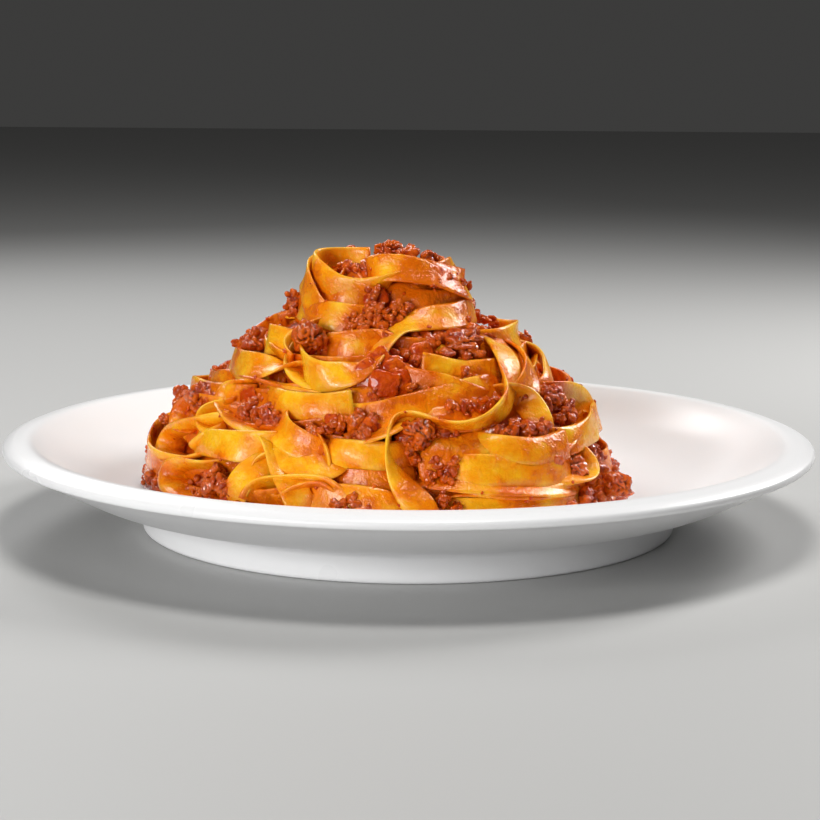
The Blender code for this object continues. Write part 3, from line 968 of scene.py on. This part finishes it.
front("base_curl", 0.08, [
    (-40, 26, -6, -50), (-47, 25.4, -2.6, -66), (-54, 24.6, -2, -74), (-60, 22.8, -1.8, -72),
    (-62, 20.6, -1.6, -66), (-59.5, 18.8, -1.4, -60), (-54, 18.2, -2, -54), (-49, 18.4, -5, -40),
])
front("base_folded_end", 0.05, [
    (-27, 31.5, -5), (-30.5, 28.6, 0), (-33, 25.4, 1.8), (-34.5, 21.8, 1.8), (-35.5, 18.4, 0),
    (-36, 15.5, -4),
])
print("front ribbons so far:", len(FRONT_RIBBONS))

# %% Ribbons of the waist and the foot
front("top_left_back", 0.25, [
    (-104, 40, -5), (-90, 41, -1), (-80, 42.2, -0.5), (-68, 43.2, 0, -10), (-57, 44, -0.8, -10),
    (-46, 44.4, -5),
])
front("waist_band", 0.05, [
    (-44, 45.8, -5), (-37, 45.6, -0.5, -2), (-30, 45.2, 1.6, -4), (-22, 45.4, 3, -6),
    (-15, 45.4, 3.2, -6), (-8, 46.4, 2.8, -4),
])
front("waist_band_back", 0.05, [
    (-14, 45.6, -3), (-6, 46.6, -0.5), (2, 47, -1.5), (10, 47, -6),
])
front("cup_back", 0.08, [
    (-32, 42.2, -5), (-29, 40.4, -1), (-25.4, 38, 0.6, -4), (-20.6, 35.6, 0.8, -6), (-16, 33.4, -1, -4),
    (-12, 31.5, -5),
])
front("cup", 0.06, [
    (-31, 37, -5, -10), (-26.5, 34.6, -0.5, -14), (-22, 31.8, 0.6, -20), (-17.5, 29.9, 1, -26),
    (-13.4, 29.6, 0.8, -30), (-10.4, 31, -1, -30), (-9.4, 34.4, -4, -20),
])
front("cup_tuck", 0.2, [
    (-17, 37, -5, 60), (-15, 35.4, -2, 60), (-13.6, 33, -1.6, 62), (-13.4, 30.5, -2.6, 60),
    (-14.5, 28, -6, 60),
])
front("centre_face", 0.1, [
    (-16, 33.8, -5), (-12, 34, 0.5), (-8, 34.2, 2.6, -2), (-2.5, 34, 3, -2), (3, 33.4, 1, -2),
    (8, 33, -4),
])
front("centre_rise", 0.08, [
    (-9, 35, -4, -60), (-4.5, 37.2, 0.2, -66), (0, 39.2, 0.6, -66), (5, 41.6, -1.5, -60),
    (10, 44, -6, -50),
])
front("base_centre", 0.1, [
    (-20, 21.6, -4), (-14, 21.6, 0), (-8, 22.4, 2, -2), (-2, 21.6, 2.6, -4), (3.4, 19.8, 2.4, -5),
    (7.6, 17.4, -1.5),
])
front("base_arch_outer", 0.08, [
    (-31, 18.6, -1.5, 62), (-30.6, 21.6, -1.3, 64), (-27.6, 24, -1.2, 66), (-21.6, 25.2, -1, 68),
    (-15.6, 25.3, -1, 68), (-11.4, 24.2, -1, 66), (-9, 21.4, -2, 62),
])
front("base_arch_inner", 0.12, [
    (-22, 19.6, -2, 62), (-20.2, 22, -1.4, 64), (-17.4, 23.9, -1.2, 66), (-14.2, 24.2, -1.2, 66),
    (-11.6, 22.8, -1.4, 64), (-10.8, 20, -3, 62),
])
front("left_ring_wall", 0.2, [
    (-61, 38.4, -7), (-55, 38.8, -4.4), (-47, 39, -3.8), (-40, 39.4, -6),
])
front("base_small_arch", 0.05, [
    (-33.5, 25.5, -4, -70), (-33, 28.4, -3, -74), (-30.5, 31, -3, -74), (-27, 32.6, -5.5, -70),
])
front("crown_wrap_left", 0.35, [
    (-118, 75, -4), (-90, 75, -1.6), (-68, 74.4, -1), (-46, 73.4, -1), (-26, 72.4, -1.6),
    (-8, 71.6, -5),
])
front("base_right_thin_low", 0.2, [
    (16, 23, -5, -50), (22, 23.4, -0.5, -56), (30, 22.4, 0.4, -56), (38, 21.2, 0.4, -50),
    (46, 20.4, -4, -40),
])
front("base_fill", 0.2, [
    (-14, 26, -5), (-8, 26.6, -1), (-2, 26.8, 0), (4, 26.2, -1), (9, 25.6, -5),
])
print("front ribbons:", len(FRONT_RIBBONS))

# %% [markdown]
# ## Laying the ribbons
# Sauce clings in patches, more in the hollows and beside the meat, and the deeper places also get
# painted shade through the same number. A finish can't know where those are, so each ribbon carries two
# numbers on its vertices: how saucy it is there, and how near its cut rim it is, where the dough is
# painted paler as a highlight. The finish turns them into colour and shine.


# %% Sauce on the vertices
def ribbon_sauce(points, level, seed):
    """Sauce from 0 to 1: the ribbon's own level, broad and fine patches, more the deeper it lies, so
    that deeper ribbons come out saucier and darker, as sauce and as painted shade, a halo that fades
    with the squared distance from the nearest meat, and the stains, which fade alike."""
    broad = waves(points, 26.0, seed)
    fine = waves(points, 9.0, seed + 1)
    away = np.min([np.linalg.norm(points - centre, axis=1) for centre in MEAT_CENTRES], axis=0)
    halo = 0.34 * np.exp(-((np.maximum(away - 2.5, 0) / 4.0) ** 2))
    stained = np.zeros(len(points))
    for place, (reach, strength) in zip(on_skin(*STAINS[:, :2].T, 1.0), STAINS[:, 2:]):
        stained += strength * np.exp(-((np.linalg.norm(points - place, axis=1) / reach) ** 2))
    radius = np.linalg.norm(points[:, :2] - HEAP_AXIS, axis=1)
    depth = np.interp(points[:, 2], SKIN_HEIGHTS, SKIN_RADII) - radius
    # deeper ribbons: sauce sunk into the heap, and painted shade in its recesses
    deep = 0.36 * np.clip((depth + 0.5) / 6, 0, 1)
    return np.clip(level + 0.22 * broad + 0.24 * fine + halo + deep + stained, 0, 1)


here = on_skin(*STAINS[:1, :2].T, 1.0)
print("sauce in the first stain:", ribbon_sauce(here, 0.1, 1).round(2))

# %% Ribbon pieces
LAID = []


def ribbon_arrays(points, level, seed, centre=HEAP_AXIS, upright=False):
    """Points, faces, sauce and rim of one ribbon, noted down for the crumbs too."""
    grid = ribbon_surface(points, seed, centre, upright)
    rows, columns = grid.shape[:2]
    flat = grid.reshape(-1, 3)
    sauce = ribbon_sauce(flat, level, seed)
    # nearness to the cut edges, which the finish paints paler as a highlight
    rim = np.tile(np.abs(ribbon_section()[0]) ** 6, rows)
    rim[:columns] = rim[-columns:] = 1
    LAID.append((flat, sauce))
    return flat, ribbon_faces(rows), sauce, rim


def lay_ribbons(name, strips):
    """One piece made of one or more ribbons' arrays."""
    grids, faces, sauces, rim_highlights = zip(*strips)
    carried = {"sauce": np.concatenate(sauces), "rim": np.concatenate(rim_highlights)}
    finish_piece(build_mesh(name, *joined(zip(grids, faces)), carried), noodle_material, "noodle")


def skin_points(places):
    """Rows of x, y, z, roll from rows of direction, height, lift, roll."""
    places = np.asarray(places, dtype=float)
    return np.column_stack([on_skin(*places[:, :3].T), places[:, 3]])


def ring_points(places, centre):
    """The same about another upright axis, with a radius in place of the lift."""
    places = np.asarray(places, dtype=float)
    turn = np.radians(places[:, 0])
    across = centre[0] + places[:, 2] * np.sin(turn)
    deep = centre[1] - places[:, 2] * np.cos(turn)
    return np.column_stack([across, deep, places[:, 1], places[:, 3]])


level, places = CROWN_LOOP
loop = ribbon_arrays(ring_points(places, CROWN_CENTRE), level, 7, CROWN_CENTRE, True)
lay_ribbons("tagliatella_crown_loop", [loop])
for seed, (name, (level, places)) in enumerate(FRONT_RIBBONS.items(), 20):
    lay_ribbons(f"tagliatella_{name}", [ribbon_arrays(skin_points(places), level, seed)])
print("ribbons laid:", len(LAID))

# %% [markdown]
# ## The back, the sides and the inside
# Behind, the heap was wound by the same hands in the same way, so its ribbons are the
# front ones turned half way round, each moved a little, and held closer to the skin where
# they come round to the sides. Deeper down, saucier ribbons fill the gaps, and under them
# all lies a lumpy core of thick sauce, so that no daylight shows through the heap.

# %% Back ribbons
NOT_BEHIND = (
    "knob", "crown_fold", "right_edge", "right_hoop", "left_fold_outer", "hollow_tongue",
    "cut_end_left",
)
SIDE_LIMIT, SIDE_FADE = 118, 25


def turned_places(places, rise, seed):
    """Places turned half way round the axis, raised, and each jittered a little.

    Within the side limit, in degrees from the front, the lift is cut down, and wholly so
    once the direction is nearer by the fade."""
    rows = np.array(places, dtype=float)
    draw = np.random.default_rng(seed)
    rows[:, 0] += 180 + draw.uniform(-5, 5)
    rows[:, 1] += rise + draw.uniform(-0.7, 0.7, len(rows))
    from_front = np.abs((rows[:, 0] + 180) % 360 - 180)
    held = np.clip((SIDE_LIMIT - from_front) / SIDE_FADE, 0, 1)
    rows[:, 2] -= held * np.maximum(rows[:, 2] + 1.5, 0)
    return rows


BACK_REGIONS = {
    # region: from this height, to this height
    "crown": (68, 95), "shoulder": (52, 68), "waist": (40, 52), "belly": (29, 40), "foot": (0, 29),
}
draw = np.random.default_rng(77)
strips = {region: [] for region in BACK_REGIONS}
for seed, (name, (level, places)) in enumerate(FRONT_RIBBONS.items(), 120):
    rise, extra = draw.uniform(-1.2, 1.2), draw.uniform(0, 0.15)
    if name in NOT_BEHIND:
        continue
    rows = turned_places(places, rise, seed)
    middle = rows[:, 1].mean()
    region = next(key for key, (low, high) in BACK_REGIONS.items() if low <= middle < high)
    strips[region].append(ribbon_arrays(skin_points(rows), level + extra, seed))
for region, several in strips.items():
    lay_ribbons(f"tagliatelle_back_{region}", several)
print("back ribbons:", {region: len(several) for region, several in strips.items()})

# %% Inner ribbons
INNER_BANDS = {
    # band: lowest height, greatest height, degrees from one ribbon to the next
    "low": (14, 26, 26), "middle": (28, 44, 26), "high": (46, 62, 26), "top": (64, 78, 45),
}
INNER_LIFTS = np.array([-7, -4.6, -4, -4, -4.6, -7])
draw = np.random.default_rng(78)
for band, (low, high, apart) in INNER_BANDS.items():
    several = []
    for start in np.arange(0, 360, apart):
        azimuth = start + draw.uniform(-8, 8) + np.linspace(0, draw.uniform(50, 80), 6)
        height = draw.uniform(low, high) + draw.uniform(-7, 7) * np.linspace(-1, 1, 6)
        height += draw.uniform(-1.5, 1.5, 6)
        lift = INNER_LIFTS + draw.uniform(-1, 0.6)
        roll = draw.uniform(-50, 50) * np.sin(np.linspace(0, np.pi, 6))
        rows = np.column_stack([azimuth, np.clip(height, 14, 79), lift, roll])
        several.append(ribbon_arrays(skin_points(rows), draw.uniform(0.35, 0.6), int(start) + 400))
    lay_ribbons(f"tagliatelle_inner_{band}", several)
print("all ribbons:", len(LAID))

# %% Core
CORE_ROWS, CORE_COLUMNS = 70, 144
CORE_HEIGHTS = (13.0, 80.0)
CORE_LIFT = -7.5
CORE_FOOT_HEIGHT, CORE_FOOT_LIFT = 11.0, -9.0


def make_core():
    """The sauce under the ribbons: the skin drawn in by the core's lift, and lumpy.

    Its rows run from the foot to the top, so its faces are turned to look outwards."""
    turn = np.linspace(0, 360, CORE_COLUMNS, endpoint=False)
    azimuth, height = np.meshgrid(turn, np.linspace(*CORE_HEIGHTS, CORE_ROWS))
    skin = on_skin(azimuth, height, CORE_LIFT)
    lumps = 1.6 * waves(skin, 8.0, 3) + 0.9 * waves(skin, 3.6, 4)
    grid = on_skin(azimuth, height, CORE_LIFT + lumps)
    foot = on_skin(turn, np.full_like(turn, CORE_FOOT_HEIGHT), CORE_FOOT_LIFT)
    base = np.array([*HEAP_AXIS, CORE_FOOT_HEIGHT + 0.2])
    top = grid[-1].mean(0) + [0, 0, 1.5]
    points = np.vstack([foot, grid.reshape(-1, 3), base, top])
    faces = [part[:, ::-1] for part in closed_faces(CORE_ROWS + 1, CORE_COLUMNS)]
    return build_mesh("sauce_core", points, faces)


finish_piece(make_core(), sauce_material, "sauce", "noodles")

# %% [markdown]
# ## Minced meat
# The meat was crumbled as it fried, so a lump is a cluster of small rounded grains with
# creases between them. A ball does for the body of a lump, and its radius swells round a
# few dozen seeded directions, one for each grain. The largest lumps stand in the places
# that the frame gives them, and the smaller ones fill the folds between the ribbons.


# %% Lumps
def ball_grid(rows, columns):
    """Unit vectors on rings from the top pole to the bottom one, poles left out."""
    tilt = np.pi * (np.arange(rows) + 0.5) / rows
    turn = 2 * np.pi * np.arange(columns) / columns
    flat = np.sin(tilt)[:, None]
    return np.stack([flat * np.cos(turn), flat * np.sin(turn), np.cos(tilt)[:, None] + 0 * turn], -1)


def lump_points(radii, seed, rows, columns, count=24):
    """A lump about the origin: a ball whose radius is 0.7 plus a swelling on every grain,
    and two wavers; then stretched to the radii. The directions are warped by slow waves
    before they are compared with the grains', so no grain comes out quite round."""
    draw = np.random.default_rng(seed)
    ways = ball_grid(rows, columns)
    grains = unit(draw.normal(size=(count, 3)))
    size = draw.uniform(1.7, 3.6, count) / count**0.5
    tall = draw.uniform(0.5, 1.1, count)
    warp = np.stack([waves(ways, 0.9, seed + key) for key in (5, 6, 7)], -1)
    apart = np.arccos(np.clip(unit(ways + 0.24 * warp) @ grains.T, -1, 1))
    swell = (np.clip(1 - (apart / size) ** 2, 0, None) ** 0.6 * tall).max(-1)
    body = 0.7 + 0.3 * swell + 0.16 * waves(ways, 1.7, seed + 1) + 0.08 * waves(ways, 0.4, seed + 2)
    turned = np.linalg.qr(draw.normal(size=(3, 3)))[0]
    return (ways * body[..., None]) @ turned * radii


def with_poles(grid):
    """A grid's points, then the middles of its first and its last row as its poles."""
    return np.vstack([grid.reshape(-1, 3), grid[0].mean(0), grid[-1].mean(0)])


def joined_lumps(name, lumps):
    """Lumps' grids of points, all of one size, as one piece, each closed at its poles."""
    faces = closed_faces(*lumps[0].shape[:2])
    return build_mesh(name, *joined((with_poles(lump), faces) for lump in lumps))

# %% The frame's lumps
CLUMP_ROWS, CLUMP_COLUMNS, CLUMP_GRAINS = 44, 64, 54
for number, node in enumerate(CLUMPS, 1):
    low, high = (np.array(corner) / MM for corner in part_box(node))
    middle, reach = (low + high) / 2, (high - low) / 2
    lump = lump_points(reach, 300 + number, CLUMP_ROWS, CLUMP_COLUMNS, CLUMP_GRAINS)
    lowest, highest = lump.min((0, 1)), lump.max((0, 1))
    lump = (lump - (lowest + highest) / 2) * 2 * reach / (highest - lowest) + middle
    finish_piece(joined_lumps(f"meat_lump_{number:02d}", [lump]), meat_material, "meat", node)

# %% Smaller lumps
GRAIN_ROWS, GRAIN_COLUMNS = 6, 9


def pebble(ways, middle, radii, waver, wavelength, draw):
    """A ball with a wavering radius, stretched to the radii and turned at random."""
    bumps = 1 + waver * waves(ways, wavelength, int(draw.integers(1e6)))
    turned = np.linalg.qr(draw.normal(size=(3, 3)))[0]
    return ways * bumps[..., None] * radii @ turned + middle


def grain_shapes(places, count, seed):
    """Small rounded grains that cling round each lump, centred near its surface."""
    draw = np.random.default_rng(seed)
    ways = ball_grid(GRAIN_ROWS, GRAIN_COLUMNS)
    shapes = []
    for place in np.repeat(places, count, axis=0):
        out = unit(draw.normal(size=3))
        middle = place[:3] + out * place[3:] * draw.uniform(0.75, 1.15)
        radii = place[3:].mean() * draw.uniform(0.26, 0.52) * draw.uniform(0.6, 1.45, 3)
        shapes.append(pebble(ways, middle, radii, 0.3, 1.2, draw))
    return shapes


def mince_pieces(name, places, seed, rows, columns, count):
    """The lumps of one region, and the grains round them, so many to each."""
    lumps = [
        lump_points(place[3:], seed + 10 * number, rows, columns) + place[:3]
        for number, place in enumerate(places)
    ]
    finish_piece(joined_lumps(f"mince_{name}", lumps), meat_material, "meat")
    grains = grain_shapes(places, count, seed)
    finish_piece(joined_lumps(f"grains_{name}", grains), meat_material, "meat")


# rows and columns of each lump, and the grains round it
FRONT_DETAIL, BACK_DETAIL = (22, 32, 5), (14, 20, 4)
BACK_RISE, BACK_CROWN_RISE = 0.5, -3.0
for seed, (region, places) in enumerate(LUMPS.items(), 500):
    mince_pieces(region, places, 40 * seed, *FRONT_DETAIL)
for seed, (region, rows) in enumerate(MEAT_PLACES.items(), 600):
    behind = turned_places(rows, BACK_CROWN_RISE if region == "crown" else BACK_RISE, seed)
    mince_pieces(f"back_{region}", place_lumps(behind, seed), 40 * seed, *BACK_DETAIL)

# %% [markdown]
# ## Crumbs and blobs of sauce
# Stirring leaves fine crumbs stuck all over the pasta, most of them where it is saucy, so they are
# scattered at random with the ribbons' own sauce as the odds. The thick sauce lies in a few soft blobs
# instead, and those are listed one by one.

# %% Crumbs
CRUMB_ROWS, CRUMB_COLUMNS = 5, 7
CRUMBS = 2600


def crumb_shapes(count, seed):
    """Crumbs centred on the ribbons' own points: a point's odds are its sauce cubed."""
    draw = np.random.default_rng(seed)
    ways = ball_grid(CRUMB_ROWS, CRUMB_COLUMNS)
    points = np.vstack([flat for flat, sauce in LAID])
    weights = np.concatenate([sauce for flat, sauce in LAID]) ** 3
    chosen = draw.choice(len(points), count, replace=False, p=weights / weights.sum())
    shapes = []
    for middle in points[chosen]:
        radii = draw.uniform(0.25, 0.7) * draw.uniform(0.6, 1.4, 3)
        shapes.append(pebble(ways, middle, radii, 0.25, 1.3, draw))
    return shapes


crumbs = crumb_shapes(CRUMBS, 900)
finish_piece(joined_lumps("sauce_crumbs", crumbs), sauce_material, "sauce")

# %% Blobs
BLOB_ROWS, BLOB_COLUMNS = 20, 28
SAUCE_BLOBS = [
    # direction, height, distance off the skin, radius
    (-4, 53, 2.2, 4.2), (0.5, 55, 2, 4.4), (5, 54, 1.8, 3.8), (1, 50.6, 2.2, 3.8), (5, 51.2, 1.8, 3.4),
    (-46, 44.6, -2, 2.6), (-36, 41, -2, 2.6), (32, 81, 2.2, 2.2), (45, 79, 2.3, 2.6),
    (56, 77, 2.2, 2.2), (17, 58, -2.5, 3), (21, 61.6, -2.6, 3), (-44, 23, -0.4, 2.8), (-38, 20, 0, 2.6),
    (-74, 39.4, -0.5, 2.6), (-64, 41.6, -0.4, 2.4), (46, 29, 3, 2.2), (16, 34.6, -3, 3),
    (20, 29, -2.4, 2.8), (-4, 39.6, -0.6, 3), (-13, 40.6, -1, 2.6), (26, 44, 1, 2.4),
    (66, 42, -0.8, 2.8), (62, 45, -0.8, 2.4), (-8, 66, -1, 3.2), (4, 67.4, -1.2, 3), (-5, 73, -3, 3),
]


def blob_points(middle, radius, seed):
    """A soft blob of sauce lying on the heap: a ball swollen by two slow wavers, drawn out
    sideways by a fifth and pressed to a quarter of its depth away from the heap's axis."""
    ways = ball_grid(BLOB_ROWS, BLOB_COLUMNS)
    body = 1 + 0.3 * waves(ways, 1.5, seed) + 0.12 * waves(ways, 0.6, seed + 1)
    ball = ways * body[..., None] * radius * 1.2
    out = unit(np.array([*(middle[:2] - HEAP_AXIS), 8.0]))
    return ball - 0.75 * (ball @ out)[..., None] * out + middle


in_front = np.array(SAUCE_BLOBS)
behind = in_front + [180, 0, 0, 0]
everywhere = np.vstack([in_front, behind])
middles = on_skin(*everywhere[:, :3].T)
blobs = [
    blob_points(middle, radius, seed)
    for seed, (middle, radius) in enumerate(zip(middles, everywhere[:, 3]), 950)
]
finish_piece(joined_lumps("sauce_blobs", blobs), sauce_material, "sauce")

# %% [markdown]
# ## Thin sauce on the plate
# The thin part of the sauce drains to the heap's foot and stands there as a flat pool
# with a rounded edge, wandering in and out. It is one sheet that follows the plate's own
# section, with its underside sunk a little into the glaze so that no gap shows.

# %% Puddle
PUDDLE_COLUMNS = 180
PUDDLE_RADIUS = 74.5
PUDDLE_DEPTH = 0.9
PUDDLE_SUNK = 0.3
FALL_START = 0.88
PUDDLE_SHARES = np.array([0.5, 0.8, FALL_START, 0.93, 0.97, 0.99, 1.0])


def plate_height(points):
    """Height of the plate's upper face below points, read off its section."""
    section = plate_section()
    face = section[: section[:, 0].argmax()]
    return np.interp(np.linalg.norm(points[..., :2], axis=-1), face[:, 0], face[:, 1])


def make_puddle():
    """A sheet whose radius is the puddle's plus two wavers. It stands its depth off the
    plate and falls along a quarter circle over the last eighth of its radius."""
    turn = np.radians(np.linspace(0, 360, PUDDLE_COLUMNS, endpoint=False))
    ring = np.stack([np.sin(turn), -np.cos(turn), 0 * turn], -1)
    edge = ring * 70
    reach = PUDDLE_RADIUS + 3.4 * waves(edge, 50.0, 11) + 1.3 * waves(edge, 13.0, 12)
    grid = (PUDDLE_SHARES[:, None] * reach)[..., None] * ring
    grid[..., :2] += HEAP_AXIS
    fall = np.clip((PUDDLE_SHARES - FALL_START) / (1 - FALL_START), 0, 1)[:, None]
    lumpy = 0.25 * waves(grid, 6.0, 13) * (1 - fall)
    grid[..., 2] = plate_height(grid) + PUDDLE_DEPTH * np.sqrt(1 - fall**2) + lumpy - 0.05
    under = grid[-2::-1].copy()
    under[..., 2] = plate_height(under) - PUDDLE_SUNK
    return joined_lumps("sauce_puddle", [np.concatenate([grid, under])])


finish_piece(make_puddle(), sauce_material, "sauce")

# %% [markdown]
# ## The table top
# The floor is there for the picture only: it catches the plate's soft shadow, and it is not a part of
# the object.

# %% Floor
FLOOR_REACH = 3000.0
FLOOR_DROP = 0.05


def make_floor():
    """A plain pale table top under the plate's foot."""
    corners = np.array([(-1, -1, 0), (1, -1, 0), (1, 1, 0), (-1, 1, 0)]) * FLOOR_REACH
    floor = build_mesh("floor", corners - [0, 0, FLOOR_DROP], [np.array([[0, 1, 2, 3]])])
    finish = Finish("floor", Roughness=0.6, Base_Color=srgb(186, 186, 185))
    floor.data.materials.append(finish.material)


make_floor()
print("floor:", 2 * FLOOR_REACH * MM, "m wide")
